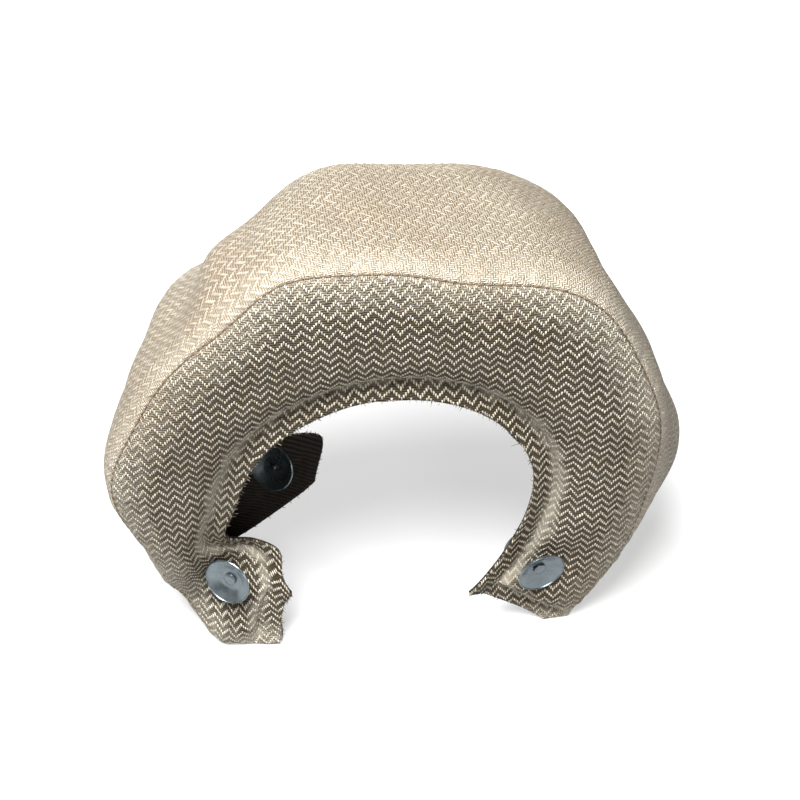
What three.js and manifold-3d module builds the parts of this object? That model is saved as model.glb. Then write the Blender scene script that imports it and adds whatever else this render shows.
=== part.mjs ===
// Turbo heat blanket: a horseshoe of three quilted panels sewn along two seams.
// Millimetres. X is to the right, Y away from the viewer, Z up. The two ends
// stand on Z = 0. The ring's axis runs along Y, and the whole is then centred.
import * as THREE from 'three';
import Module from 'manifold-3d';
import { mergeVertices } from 'three/addons/utils/BufferGeometryUtils.js';

const wasm = await Module();
wasm.setup();

// The ring that the panels are cut to
const HOLE_RADIUS = 61.5;
const SEAM_RADIUS = 105;
const RING_HEIGHT = 76;
const SEAM_SPACING = 78;

// Angles where the panels stop, each side of the top, at their holes and seams
const LEFT_END_AT_FRONT_HOLE = 139;
const LEFT_END_AT_FRONT_SEAM = 148.5;
const LEFT_END_AT_REAR_SEAM = 139;
const LEFT_END_AT_REAR_HOLE = 144;
const RIGHT_END_AT_FRONT_HOLE = 146;
const RIGHT_END_AT_FRONT_SEAM = 138;
const RIGHT_END_AT_REAR_SEAM = 132;
const RIGHT_END_AT_REAR_HOLE = 119;

// The plies of the quilt, and the room that is left between two of them
const CLOTH = 1.2;
const LINER = 0.8;
const MAT = 10.5;
const PLY_GAP = 0.3;
const HEM_WIDTH = 9;
const HEM_RISE = 2.5;
const SEAM_PROUD = 3;
const SEAM_GAP = 0.3;
const HOLE_SHOULDER = 13;
const SEAM_SHOULDER = 9;
const OUTWARD_SHARE = 0.62;
const BAND_CROWN = 3;

// Lacing anchors: where they sit, and their dished washers and pins
const ANCHOR_CIRCLE_RADIUS = 75.5;
const LEFT_ANCHOR_ANGLE = 124;
const RIGHT_ANCHOR_ANGLE = 123;
const REAR_LEFT_ANCHOR_CIRCLE_RADIUS = 56;
const REAR_LEFT_ANCHOR_ANGLE = 130;
const REAR_RIGHT_ANCHOR_ANGLE = 104;
const ANCHOR_PINCH = 0.6;
const ANCHOR_PINCH_REACH = 13;
const WASHER_DIAMETER = 21;
const INNER_WASHER_DIAMETER = 21;
const WASHER_THICKNESS = 0.6;
const WASHER_FLAT_RADIUS = 4.4;
const WASHER_DISH = 2.6;
const WASHER_LIP = 0.9;
const PIN_DIAMETER = 2.7;
const PIN_HEAD_DIAMETER = 5.4;
const PIN_HEAD_HEIGHT = 0.9;
const PIN_END_PROUD = 1.6;
const PIN_CLEARANCE = 0.3;
const SEAT_GAP = 0.3;
const WASHER_LEAN = 0.4;

// How the sewn cloth departs from the ring it was cut to. Each row is an angle
// from the top, a change of radius in mm and the stretch in degrees it dies over.
const FRONT_SEAM_SWELLS = [
  [-106, -7, 14], [-80, 3.5, 12], [-43, 2.5, 16], [-17, 11.5, 12], [1.5, 7, 12], [37.5, 17, 20],
  [69, 7.5, 18], [117, 1.5, 14], [142, 9, 10],
];
const REAR_SEAM_SWELLS = [
  [-101, 2, 12], [-70, -12, 16], [-36.5, -15, 15], [-8.5, 4.5, 12], [28, 9.5, 18], [42, 4, 9],
  [77, 2.5, 16], [132, 16, 17],
];
const FRONT_HOLE_SWELLS = [[-122.5, -10, 8.5], [-107, 8, 13], [-24, -6.5, 60], [104, -3, 24]];
const REAR_HOLE_SWELLS = [[-132, -30, 14], [112, 5, 20]];
const BAND_TUCKS = [
  [-87, -0.5, 14], [-46.5, -3.5, 9], [-32, 9, 8], [0, -2.5, 12], [49.5, -2.5, 9], [94.5, 15, 14],
  [134, 7, 11],
];

// Folds of the ends: the crease over the front left flap, and the rear left flap
const CREASE_OUTER = [-88, 14];
const CREASE_INNER = [-61, 44];
const CREASE_DEPTH = 8;
const CREASE_REACH = 15;
const LEFT_FLAP_FLARE = 7;
const LEFT_FLAP_LENGTH = 36;
const RIGHT_END_FLARE = 6;
const RIGHT_FLARE_ANGLE = 108;
const REAR_LEFT_TUCK = 24;
const REAR_TUCK_ANGLE = 95;

const CLOTH_COLOUR = '#b9a78b';
const MAT_COLOUR = '#d8d2c4';
const LINER_COLOUR = '#2c241c';
const STEEL_COLOUR = '#7d8890';

const HEM_THICKNESS = CLOTH + PLY_GAP + LINER;
const FRONT = -1;
const REAR = 1;
const HALF_SPACING = SEAM_SPACING / 2 - SEAM_PROUD;
const BASE_SEAM_RADIUS = SEAM_RADIUS - SEAM_PROUD;

// Lines of the quilt's mesh. Stations run round the ring, with close ones at each
// end for the hem and the shoulder behind it; columns run across a panel.
const END_STATIONS = [0, 1, 1.2, 1.6, 2.4, 3.3];
const MIDDLE_STATIONS = 27;
const PANEL_COLUMNS = [0, 0.1, 0.26, 0.5, 0.76, 1];
const MAT_SETBACK = 1.2;

const radians = THREE.MathUtils.degToRad;
const clamp = THREE.MathUtils.clamp;
const lerp = THREE.MathUtils.lerp;

// Sum of the local swells at an angle given in degrees.
function swell(rows, angle) {
  let sum = 0;
  for (const [centre, height, reach] of rows) {
    sum += height * Math.exp(-(((angle - centre) / reach) ** 2));
  }
  return sum;
}

// Radius at which a ray from the ring's axis meets the surface the ends rest on.
function groundRadius(angle) {
  const fall = -Math.cos(radians(angle));
  return fall > 0.01 ? RING_HEIGHT / fall : Infinity;
}

function holeRadius(side, angle) {
  const rows = side === FRONT ? FRONT_HOLE_SWELLS : REAR_HOLE_SWELLS;
  return HOLE_RADIUS + swell(rows, angle);
}

function seamRadius(side, angle) {
  const rows = side === FRONT ? FRONT_SEAM_SWELLS : REAR_SEAM_SWELLS;
  const free = BASE_SEAM_RADIUS + swell(rows, angle);
  return Math.min(free, groundRadius(angle) - SEAM_PROUD);
}

// The ends' angles along the section's path: 0 at the front hole edge, 1 at the
// front seam, 2 at the rear seam and 3 at the rear hole edge.
function alongPath(values, path) {
  const leg = Math.min(Math.floor(path), 2);
  return lerp(values[leg], values[leg + 1], path - leg);
}
const LEFT_ENDS = [
  -LEFT_END_AT_FRONT_HOLE,
  -LEFT_END_AT_FRONT_SEAM,
  -LEFT_END_AT_REAR_SEAM,
  -LEFT_END_AT_REAR_HOLE,
];
const RIGHT_ENDS = [
  RIGHT_END_AT_FRONT_HOLE,
  RIGHT_END_AT_FRONT_SEAM,
  RIGHT_END_AT_REAR_SEAM,
  RIGHT_END_AT_REAR_HOLE,
];
const PATH_RADII = [HOLE_RADIUS, SEAM_RADIUS, SEAM_RADIUS, HOLE_RADIUS];

function panelPath(side, share) {
  return side === FRONT ? share : 3 - share;
}

// Angle of a station at a place along the section's path.
function stationAngle(station, path) {
  const left = alongPath(LEFT_ENDS, path);
  const right = alongPath(RIGHT_ENDS, path);
  const hemAngle = THREE.MathUtils.radToDeg(HEM_WIDTH / alongPath(PATH_RADII, path));
  const close = END_STATIONS.length;
  const last = STATION_COUNT - 1;
  if (station < close) return left + END_STATIONS[station] * hemAngle;
  if (station > last - close) return right - END_STATIONS[last - station] * hemAngle;
  const from = left + END_STATIONS[close - 1] * hemAngle;
  const to = right - END_STATIONS[close - 1] * hemAngle;
  return lerp(from, to, (station - close + 1) / (MIDDLE_STATIONS + 1));
}
const STATION_COUNT = 2 * END_STATIONS.length + MIDDLE_STATIONS;

// Rise of the mat behind a hem or a seam: a quarter round over the given length.
function shoulder(distance, length) {
  const t = clamp(distance / length, 0, 1);
  return Math.sqrt(1 - (1 - t) ** 2);
}

function distanceToEnd(angle, path, radius) {
  const left = angle - alongPath(LEFT_ENDS, path);
  const right = alongPath(RIGHT_ENDS, path) - angle;
  return radians(Math.min(left, right)) * radius;
}

// The four places where an anchor pinches the front or the rear panel. The front
// washers lean outward over the raised hem, by a share of their facing direction.
const ANCHORS = [
  {
    name: 'front_left',
    side: FRONT,
    angle: -LEFT_ANCHOR_ANGLE,
    radius: ANCHOR_CIRCLE_RADIUS,
    lean: new THREE.Vector3(-WASHER_LEAN, 0, 0),
  },
  {
    name: 'front_right',
    side: FRONT,
    angle: RIGHT_ANCHOR_ANGLE,
    radius: ANCHOR_CIRCLE_RADIUS,
    lean: new THREE.Vector3(WASHER_LEAN, 0, -WASHER_LEAN / 2),
  },
  {
    name: 'rear_left',
    side: REAR,
    angle: -REAR_LEFT_ANCHOR_ANGLE,
    radius: REAR_LEFT_ANCHOR_CIRCLE_RADIUS,
    lean: new THREE.Vector3(0, 0, 0),
  },
  {
    name: 'rear_right',
    side: REAR,
    angle: REAR_RIGHT_ANCHOR_ANGLE,
    radius: ANCHOR_CIRCLE_RADIUS,
    lean: new THREE.Vector3(0, 0, 0),
  },
];

function pinch(side, angle, radius) {
  let factor = 1;
  for (const anchor of ANCHORS) {
    if (anchor.side !== side) continue;
    const across = radians(angle - anchor.angle) * anchor.radius;
    const distance = Math.hypot(across, radius - anchor.radius);
    factor -= ANCHOR_PINCH * Math.exp(-((distance / ANCHOR_PINCH_REACH) ** 2));
  }
  return factor;
}

// Thickness of mat at a place, from its distances to the free edges and the seam.
function matThickness(toHole, toEnd, toSeam) {
  const hole = shoulder(toHole - HEM_WIDTH, HOLE_SHOULDER);
  const end = shoulder(toEnd - HEM_WIDTH, HOLE_SHOULDER);
  return MAT * Math.min(hole, end) * shoulder(toSeam, SEAM_SHOULDER);
}

// How far the outer face stands out from the sewn line that the panel follows.
function outwardOffset(mat, toSeam) {
  const atSeam = clamp(1 - toSeam / SEAM_SHOULDER, 0, 1) ** 2;
  return lerp(HEM_THICKNESS / 2, SEAM_PROUD, atSeam) + OUTWARD_SHARE * mat;
}

// The folds shift cloth along Y: the crease and flare of the front left flap, the
// flare of the front right end and the tuck of the rear left flap.
function foldShift(x, y, z) {
  const frontWeight = clamp(-y / HALF_SPACING, 0, 1.2);
  const rearWeight = clamp(y / HALF_SPACING, 0, 1.2);
  const run = [CREASE_INNER[0] - CREASE_OUTER[0], CREASE_INNER[1] - CREASE_OUTER[1]];
  const length = Math.hypot(run[0], run[1]);
  const past = ((x - CREASE_OUTER[0]) * run[1] - (z - CREASE_OUTER[1]) * run[0]) / length;
  const leftward = clamp(-x / 20, 0, 1);
  const crease = CREASE_DEPTH * Math.exp(-((past / CREASE_REACH) ** 2));
  const flare = LEFT_FLAP_FLARE * clamp(past / LEFT_FLAP_LENGTH, 0, 1);
  const angle = THREE.MathUtils.radToDeg(Math.atan2(x, z - RING_HEIGHT));
  const rightSpan = RIGHT_END_AT_FRONT_HOLE - RIGHT_FLARE_ANGLE;
  const rightPast = clamp((angle - RIGHT_FLARE_ANGLE) / rightSpan, 0, 1);
  const tuckSpan = LEFT_END_AT_REAR_HOLE - REAR_TUCK_ANGLE;
  const tuckPast = clamp((-angle - REAR_TUCK_ANGLE) / tuckSpan, 0, 1.1);
  const front = leftward * (crease - flare) - RIGHT_END_FLARE * rightPast ** 2;
  const rear = -REAR_LEFT_TUCK * tuckPast ** 1.5;
  return frontWeight * front + rearWeight * rear;
}

function place(radius, y, angle) {
  const x = radius * Math.sin(radians(angle));
  const z = RING_HEIGHT + radius * Math.cos(radians(angle));
  return new THREE.Vector3(x, y + foldShift(x, y, z), z);
}

// A point of the front or rear panel at a depth below its outer face.
function panelPoint(side, station, column, depth) {
  const share = panelShare(side, station, column);
  const path = panelPath(side, share);
  const angle = stationAngle(station, path);
  const hole = holeRadius(side, angle);
  const seam = seamRadius(side, angle);
  const radius = lerp(hole, seam, share);
  const toHole = radius - hole;
  const toSeam = seam - radius;
  const mat = matThickness(toHole, distanceToEnd(angle, path, radius), toSeam);
  const pinched = mat * pinch(side, angle, radius);
  const mitre = clamp(1 - toSeam / SEAM_SHOULDER, 0, 1);
  const lift = HEM_RISE * clamp(1 - toHole / HEM_WIDTH, 0, 1);
  const offset = outwardOffset(pinched, toSeam) - scaledDepth(depth, pinched);
  const gap = mitre === 1 ? SEAM_GAP / 2 : 0;
  return place(radius + mitre * offset - gap, side * (HALF_SPACING + offset + lift - gap), angle);
}

// Depth is given as plies passed: 0 outside, 1 under the cloth, 2 and 3 the faces
// of the mat, 4 and 5 those of the liner.
function scaledDepth(level, mat) {
  const levels = [0, CLOTH, CLOTH + PLY_GAP, CLOTH + mat, CLOTH + PLY_GAP + mat];
  levels.push(HEM_THICKNESS + mat);
  return levels[level];
}

// Share of the way from hole edge to seam for a column of a panel.
function panelShare(side, station, column) {
  const angle = stationAngle(station, panelPath(side, 0.5));
  const width = seamRadius(side, angle) - holeRadius(side, angle);
  const hem = HEM_WIDTH / width;
  if (column === 0) return 0;
  const last = (width - MAT_SETBACK * 2) / width;
  if (column === PANEL_COLUMNS.length + 1) return 1;
  return lerp(hem, last, PANEL_COLUMNS[column - 1]);
}

// A point of the rim band; column runs from the front seam to the rear seam.
const BAND_COLUMNS = [0, 0.035, 0.13, 0.32, 0.5, 0.68, 0.87, 0.965, 1];

function bandPoint(station, column, depth) {
  const share = BAND_COLUMNS[column];
  const path = 1 + share;
  const angle = stationAngle(station, path);
  const across = share * 2 * HALF_SPACING;
  const toSeam = Math.min(across, 2 * HALF_SPACING - across);
  const seam = lerp(seamRadius(FRONT, angle), seamRadius(REAR, angle), share);
  const bulge = Math.sin(Math.PI * share);
  const base = seam + bulge * (BAND_CROWN + swell(BAND_TUCKS, angle));
  const mat = matThickness(Infinity, distanceToEnd(angle, path, SEAM_RADIUS), toSeam);
  const outer = outwardOffset(mat, toSeam);
  const pressed = Math.max(0, base + outer - groundRadius(angle));
  const mitre = clamp(1 - toSeam / SEAM_SHOULDER, 0, 1);
  const side = share < 0.5 ? FRONT : REAR;
  const offset = outer - scaledDepth(depth, mat);
  const gap = mitre === 1 ? SEAM_GAP / 2 : 0;
  const y = across - HALF_SPACING + side * (mitre * offset - gap);
  return place(base - pressed + offset - gap, y, angle);
}

// A closed solid between two grids of points that share their rows and columns.
function solidBetween(outer, inner) {
  const rows = outer.length;
  const columns = outer[0].length;
  const layer = rows * columns;
  const positions = [outer, inner].flat(2).flatMap((point) => point.toArray());
  const index = [];
  const quad = (a, b, c, d) => index.push(a, b, c, a, c, d);
  for (let i = 0; i < rows - 1; i += 1) {
    for (let j = 0; j < columns - 1; j += 1) {
      const a = i * columns + j;
      const b = a + columns;
      quad(a, b, b + 1, a + 1);
      quad(layer + a, layer + a + 1, layer + b + 1, layer + b);
    }
    const left = i * columns;
    const right = left + columns - 1;
    quad(left, layer + left, layer + left + columns, left + columns);
    quad(right, right + columns, layer + right + columns, layer + right);
  }
  for (let j = 0; j < columns - 1; j += 1) {
    const end = (rows - 1) * columns + j;
    quad(j, j + 1, layer + j + 1, layer + j);
    quad(end, layer + end, layer + end + 1, end + 1);
  }
  const geometry = new THREE.BufferGeometry();
  geometry.setAttribute('position', new THREE.Float32BufferAttribute(positions, 3));
  geometry.setIndex(index);
  return facingOut(geometry);
}

// Turns the faces round if the solid they enclose counts as negative.
function facingOut(geometry) {
  const position = geometry.attributes.position;
  const index = geometry.index.array;
  const corner = [new THREE.Vector3(), new THREE.Vector3(), new THREE.Vector3()];
  let volume = 0;
  for (let i = 0; i < index.length; i += 3) {
    corner.forEach((vertex, k) => vertex.fromBufferAttribute(position, index[i + k]));
    volume += corner[0].dot(corner[1].clone().cross(corner[2]));
  }
  if (volume < 0) index.reverse();
  return geometry;
}

function grid(stations, columns, pointAt) {
  return stations.map((station) => columns.map((column) => pointAt(station, column)));
}

const range = (from, to) => Array.from({ length: to - from + 1 }, (_, i) => from + i);

// One ply of a panel or of the band, between two depth levels.
function ply(pointAt, columnCount, trim, levels) {
  const stations = range(trim.stations, STATION_COUNT - 1 - trim.stations);
  const columns = range(trim.firstColumn, columnCount - 1 - trim.lastColumn);
  const face = (level) => grid(stations, columns, (i, j) => pointAt(i, j, level));
  return solidBetween(face(levels[0]), face(levels[1]));
}

const FULL = { stations: 0, firstColumn: 0, lastColumn: 0 };
const PANEL_MAT = { stations: 2, firstColumn: 2, lastColumn: 1 };
const BAND_MAT = { stations: 2, firstColumn: 1, lastColumn: 1 };
const PLIES = {
  cover: { levels: [0, 1], colour: CLOTH_COLOUR },
  insulation: { levels: [2, 3], colour: MAT_COLOUR },
  liner: { levels: [4, 5], colour: LINER_COLOUR },
};

function toManifold(geometry) {
  const bare = geometry.clone();
  bare.deleteAttribute('normal');
  bare.deleteAttribute('uv');
  const merged = mergeVertices(bare, 1e-5);
  const vertProperties = new Float32Array(merged.attributes.position.array);
  const triVerts = new Uint32Array(merged.index.array);
  return new wasm.Manifold(new wasm.Mesh({ numProp: 3, vertProperties, triVerts }));
}

function fromManifold(solid) {
  const mesh = solid.getMesh();
  const geometry = new THREE.BufferGeometry();
  geometry.setAttribute('position', new THREE.BufferAttribute(mesh.vertProperties, 3));
  geometry.setIndex(new THREE.BufferAttribute(mesh.triVerts, 1));
  return geometry;
}

function material(colour, roughness, metalness) {
  return new THREE.MeshStandardMaterial({ color: colour, roughness, metalness });
}

function mesh(name, geometry, look) {
  const made = new THREE.Mesh(geometry, look);
  made.name = name;
  return made;
}

// Where an anchor goes through its panel: a point of the outer face, and the mean
// direction that the face looks in round about it.
function anchorFrame(anchor, faces) {
  const x = anchor.radius * Math.sin(radians(anchor.angle));
  const z = RING_HEIGHT + anchor.radius * Math.cos(radians(anchor.angle));
  const start = new THREE.Vector3(x, anchor.side * 2 * SEAM_SPACING, z);
  const ray = new THREE.Ray(start, new THREE.Vector3(0, -anchor.side, 0));
  const outer = rayHit(ray, faces.cover);
  const normal = new THREE.Vector3();
  eachTriangle(faces.cover, ([a, b, c]) => {
    const middle = a.clone().add(b).add(c).divideScalar(3);
    if (middle.distanceTo(outer) > WASHER_DIAMETER / 2) return;
    const facing = b.clone().sub(a).cross(c.clone().sub(a));
    if (facing.y * anchor.side > 0) normal.add(facing);
  });
  return { outer, normal: normal.normalize().add(anchor.lean).normalize() };
}

function eachTriangle(geometry, visit) {
  const position = geometry.attributes.position;
  const index = geometry.index.array;
  for (let i = 0; i < index.length; i += 3) {
    visit([0, 1, 2].map((k) => new THREE.Vector3().fromBufferAttribute(position, index[i + k])));
  }
}

function rayHit(ray, geometry) {
  let nearest = null;
  eachTriangle(geometry, ([a, b, c]) => {
    const hit = ray.intersectTriangle(a, b, c, false, new THREE.Vector3());
    if (!hit) return;
    if (!nearest || hit.distanceTo(ray.origin) < nearest.distanceTo(ray.origin)) nearest = hit;
  });
  return nearest;
}

// Height of the dished washer's underside over its seat, at a distance from its axis.
function dishHeight(distance, washerRadius) {
  if (distance <= WASHER_FLAT_RADIUS) return 0;
  return (WASHER_DISH * (distance - WASHER_FLAT_RADIUS)) / (washerRadius - WASHER_FLAT_RADIUS);
}

// How far along the normal a washer's seat lies, so that its underside just
// clears every face of the ply that it is pressed against.
function seatHeight(geometry, origin, normal, washerRadius) {
  const steps = 12;
  let height = -Infinity;
  eachTriangle(geometry, (corners) => {
    if (corners.every((corner) => corner.distanceTo(origin) > 3 * washerRadius)) return;
    for (let i = 0; i <= steps; i += 1) {
      for (let j = 0; j <= steps - i; j += 1) {
        const point = new THREE.Vector3()
          .addScaledVector(corners[0], i / steps)
          .addScaledVector(corners[1], j / steps)
          .addScaledVector(corners[2], 1 - (i + j) / steps);
        const offset = point.sub(origin);
        const along = offset.dot(normal);
        const distance = Math.sqrt(Math.max(0, offset.lengthSq() - along * along));
        if (distance > washerRadius + SEAT_GAP) continue;
        height = Math.max(height, along - dishHeight(distance, washerRadius));
      }
    }
  });
  return height + SEAT_GAP;
}

// A dished lacing washer with a rolled lip, seated at height 0 and rising along +Y.
function washerGeometry(diameter) {
  const bore = PIN_DIAMETER / 2 + PIN_CLEARANCE;
  const rim = diameter / 2;
  const neck = rim - WASHER_LIP;
  const neckHeight = dishHeight(neck, rim);
  const profile = [
    [bore, 0],
    [WASHER_FLAT_RADIUS, 0],
    [neck, neckHeight],
    [rim, neckHeight + WASHER_LIP],
    [rim - WASHER_THICKNESS / 2, neckHeight + WASHER_LIP + WASHER_THICKNESS / 2],
    [rim - WASHER_THICKNESS, neckHeight + WASHER_LIP],
    [neck - WASHER_THICKNESS / 2, neckHeight + WASHER_THICKNESS],
    [WASHER_FLAT_RADIUS - WASHER_THICKNESS / 2, WASHER_THICKNESS],
    [bore, WASHER_THICKNESS],
    [bore, 0],
  ];
  return lathe(profile, 18);
}

// The pin: a low domed head outside, a shank, and a blunt end past the inner washer.
function pinGeometry(shankLength) {
  const shank = PIN_DIAMETER / 2;
  const head = PIN_HEAD_DIAMETER / 2;
  const profile = [
    [0, -shankLength],
    [shank * 0.6, -shankLength],
    [shank, -shankLength + shank * 0.4],
    [shank, 0],
    [head, 0],
    [head, PIN_HEAD_HEIGHT * 0.5],
    [head * 0.7, PIN_HEAD_HEIGHT],
    [0, PIN_HEAD_HEIGHT],
  ];
  return lathe(profile, 12);
}

function lathe(profile, segments) {
  const points = profile.map(([radius, height]) => new THREE.Vector2(radius, height));
  const turned = new THREE.LatheGeometry(points, segments);
  turned.deleteAttribute('normal');
  turned.deleteAttribute('uv');
  return facingOut(fromManifold(toManifold(facingOut(mergeVertices(turned, 1e-5)))));
}

// The bore that a pin takes through each ply of its panel.
function pinBore(frame) {
  const radius = PIN_DIAMETER / 2 + PIN_CLEARANCE;
  const bore = new THREE.CylinderGeometry(radius, radius, 2 * SEAM_SPACING / 3, 12);
  bore.applyQuaternion(turnTo(frame.normal));
  bore.translate(frame.outer.x, frame.outer.y, frame.outer.z);
  return toManifold(bore);
}

function turnTo(direction) {
  return new THREE.Quaternion().setFromUnitVectors(new THREE.Vector3(0, 1, 0), direction);
}

function seated(made, origin, normal, height) {
  made.quaternion.copy(turnTo(normal));
  made.position.copy(origin).addScaledVector(normal, height);
  return made;
}

// The two washers and the pin of one anchor, seated on the faces of its panel.
function anchorMeshes(anchor, frame, faces) {
  const steel = () => material(STEEL_COLOUR, 0.32, 0.9);
  const inward = frame.normal.clone().negate();
  const outside = seatHeight(faces.cover, frame.outer, frame.normal, WASHER_DIAMETER / 2);
  const inside = seatHeight(faces.liner, frame.outer, inward, INNER_WASHER_DIAMETER / 2);
  const headSeat = outside + WASHER_THICKNESS + SEAT_GAP;
  const shank = headSeat + inside + WASHER_THICKNESS + PIN_END_PROUD;
  const outer = mesh(`${anchor.name}_outer_washer`, washerGeometry(WASHER_DIAMETER), steel());
  const inner = mesh(`${anchor.name}_inner_washer`, washerGeometry(INNER_WASHER_DIAMETER), steel());
  const pin = mesh(`${anchor.name}_pin`, pinGeometry(shank), steel());
  return [
    seated(outer, frame.outer, frame.normal, outside),
    seated(pin, frame.outer, frame.normal, headSeat),
    seated(inner, frame.outer, inward, inside),
  ];
}

// The front or rear panel: its three plies, bored for the two anchors they carry.
function panelMeshes(name, side) {
  const columnCount = PANEL_COLUMNS.length + 2;
  const pointAt = (station, column, level) => panelPoint(side, station, column, level);
  const faces = {};
  for (const [kind, { levels }] of Object.entries(PLIES)) {
    faces[kind] = ply(pointAt, columnCount, kind === 'insulation' ? PANEL_MAT : FULL, levels);
  }
  const anchors = ANCHORS.filter((anchor) => anchor.side === side);
  const frames = anchors.map((anchor) => anchorFrame(anchor, faces));
  const made = Object.entries(PLIES).map(([kind, { colour }]) => {
    let solid = toManifold(faces[kind]);
    for (const frame of frames) solid = solid.subtract(pinBore(frame));
    return mesh(`${name}_${kind}`, fromManifold(solid), material(colour, 0.95, 0));
  });
  anchors.forEach((anchor, i) => made.push(...anchorMeshes(anchor, frames[i], faces)));
  return made;
}

function bandMeshes() {
  return Object.entries(PLIES).map(([kind, { levels, colour }]) => {
    const trim = kind === 'insulation' ? BAND_MAT : FULL;
    const geometry = ply(bandPoint, BAND_COLUMNS.length, trim, levels);
    return mesh(`band_${kind}`, geometry, material(colour, 0.95, 0));
  });
}

const blanket = new THREE.Group();
blanket.add(...panelMeshes('front', FRONT));
blanket.add(...bandMeshes());
blanket.add(...panelMeshes('rear', REAR));

// The origin is under the middle of the blanket, on the surface that it stands on.
const extent = new THREE.Box3().setFromObject(blanket, true);
const middle = extent.getCenter(new THREE.Vector3());
blanket.position.set(-middle.x, -middle.y, 0);

export default blanket;
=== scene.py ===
import bpy
import numpy as np
from mathutils import Matrix, Vector


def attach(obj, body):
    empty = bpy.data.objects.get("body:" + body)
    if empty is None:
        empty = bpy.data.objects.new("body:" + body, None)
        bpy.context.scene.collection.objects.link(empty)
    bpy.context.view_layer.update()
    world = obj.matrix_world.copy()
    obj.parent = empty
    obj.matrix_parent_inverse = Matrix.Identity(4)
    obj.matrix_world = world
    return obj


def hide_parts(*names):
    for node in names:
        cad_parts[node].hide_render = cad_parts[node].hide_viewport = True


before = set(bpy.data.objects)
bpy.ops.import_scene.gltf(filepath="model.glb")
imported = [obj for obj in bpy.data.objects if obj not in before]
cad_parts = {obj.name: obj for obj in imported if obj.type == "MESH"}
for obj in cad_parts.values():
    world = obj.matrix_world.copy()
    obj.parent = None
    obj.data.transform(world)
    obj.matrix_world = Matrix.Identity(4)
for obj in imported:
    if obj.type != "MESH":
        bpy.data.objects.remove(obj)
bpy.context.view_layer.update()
bpy.ops.object.select_all(action="DESELECT")

# Front panel, outer cloth: a flat horseshoe of thick zigzag-woven silica cloth,
# quilted over a mat. It is stitched down to a raised, raw-edged flange round the
# hole and across both ends, and sewn to the rim band along its outer edge.
HOLE_RADIUS = 61.5
SEAM_RADIUS = 105.0
RING_HEIGHT = 76.0
SEAM_SPACING = 78.0
# The angles at which the ends lie: at the front hole, both seams and the rear hole.
LEFT_ENDS = np.array([-139.0, -148.5, -139.0, -144.0])
RIGHT_ENDS = np.array([146.0, 138.0, 132.0, 119.0])
END_RADII = np.array([HOLE_RADIUS, SEAM_RADIUS, SEAM_RADIUS, HOLE_RADIUS])
END_ZONE = 3.3
MIDDLE_SHIFT = np.array([-8.5184, 2.2505, 0.0])
CLOTH, LINER, MAT, PLY_GAP = 1.2, 0.8, 10.5, 0.3
HEM_WIDTH, HEM_RISE, HEM_FLARE = 9.0, 2.5, 1.7
SEAM_PROUD, SEAM_GAP = 3.0, 0.3
HOLE_SHOULDER, SEAM_SHOULDER, SEAM_EASE, SEAM_STRIP = 13.0, 9.0, 12.0, 2.4
PILLOW = 2.2
OUTWARD_SHARE = 0.62
HEM_THICKNESS = CLOTH + PLY_GAP + LINER
HALF_SPACING = SEAM_SPACING / 2 - SEAM_PROUD
BASE_SEAM_RADIUS = SEAM_RADIUS - SEAM_PROUD
FRONT, REAR = -1, 1
# Swells of the soft outline: angle, height and reach of each.
SEAM_SWELLS = {
    FRONT: [(-106, -7, 14), (-80, 3.5, 12), (-43, 2.5, 16), (-17, 11.5, 12), (1.5, 7, 12),
            (37.5, 17, 20), (69, 7.5, 18), (117, 1.5, 14), (142, 9, 10)],
    REAR: [(-101, 2, 12), (-70, -12, 16), (-36.5, -15, 15), (-8.5, 4.5, 12), (28, 9.5, 18),
           (42, 4, 9), (77, 2.5, 16), (132, 16, 17)],
}
HOLE_SWELLS = {
    FRONT: [(-122.5, -10, 8.5), (-107, 8, 13), (-24, -6.5, 60), (104, -3, 24)],
    REAR: [(-132, -30, 14), (112, 5, 20)],
}
# Where the washers draw the quilt together: angle and circle radius.
ANCHORS = {FRONT: [(-124, 75.5), (123, 75.5)], REAR: [(-130, 56.0), (104, 75.5)]}
PINCH_DEPTH, PINCH_REACH, WASHER_CLEARANCE, PILLOW_REACH = 0.6, 13, 11.5, 18
# The crease across the front left flap: a point on it, its direction, depth and reach.
CREASE_X, CREASE_Z, CREASE_RUN, CREASE_RISE, CREASE_DEPTH, CREASE_REACH = -88, 14, 27, 30, 8, 15
FLAP_FLARE, FLAP_LENGTH, LEFT_BLEND = 7, 36, 20
RIGHT_FLARE, RIGHT_FLARE_START = 6, 108
REAR_TUCK, REAR_TUCK_START = 24, 95
# How deep a face lies under the outer face: a fixed part and a share of the mat.
DEPTHS = {"cloth outside": (0, 0), "cloth inside": (CLOTH, 0),
          "mat outside": (CLOTH + PLY_GAP, 0), "mat inside": (CLOTH, 1),
          "liner outside": (CLOTH + PLY_GAP, 1), "liner inside": (HEM_THICKNESS, 1)}


def swell(rows, angle):
    return sum(height * np.exp(-(((angle - at) / reach) ** 2)) for at, height, reach in rows)


def along_path(values, path):
    """Values between the four edges: front hole 0, front seam 1, rear seam 2, rear hole 3."""
    leg = np.minimum(np.floor(path).astype(int), 2)
    return values[leg] + (values[leg + 1] - values[leg]) * (path - leg)


def ground_radius(angle):
    """How far the floor lies from the ring's centre; out of reach for the upper half."""
    fall = -np.cos(np.radians(angle))
    return np.where(fall > 0.01, RING_HEIGHT / np.maximum(fall, 0.01), 1e6)


def seam_radius(side, angle):
    free = BASE_SEAM_RADIUS + swell(SEAM_SWELLS[side], angle)
    return np.minimum(free, ground_radius(angle) - SEAM_PROUD)


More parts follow.
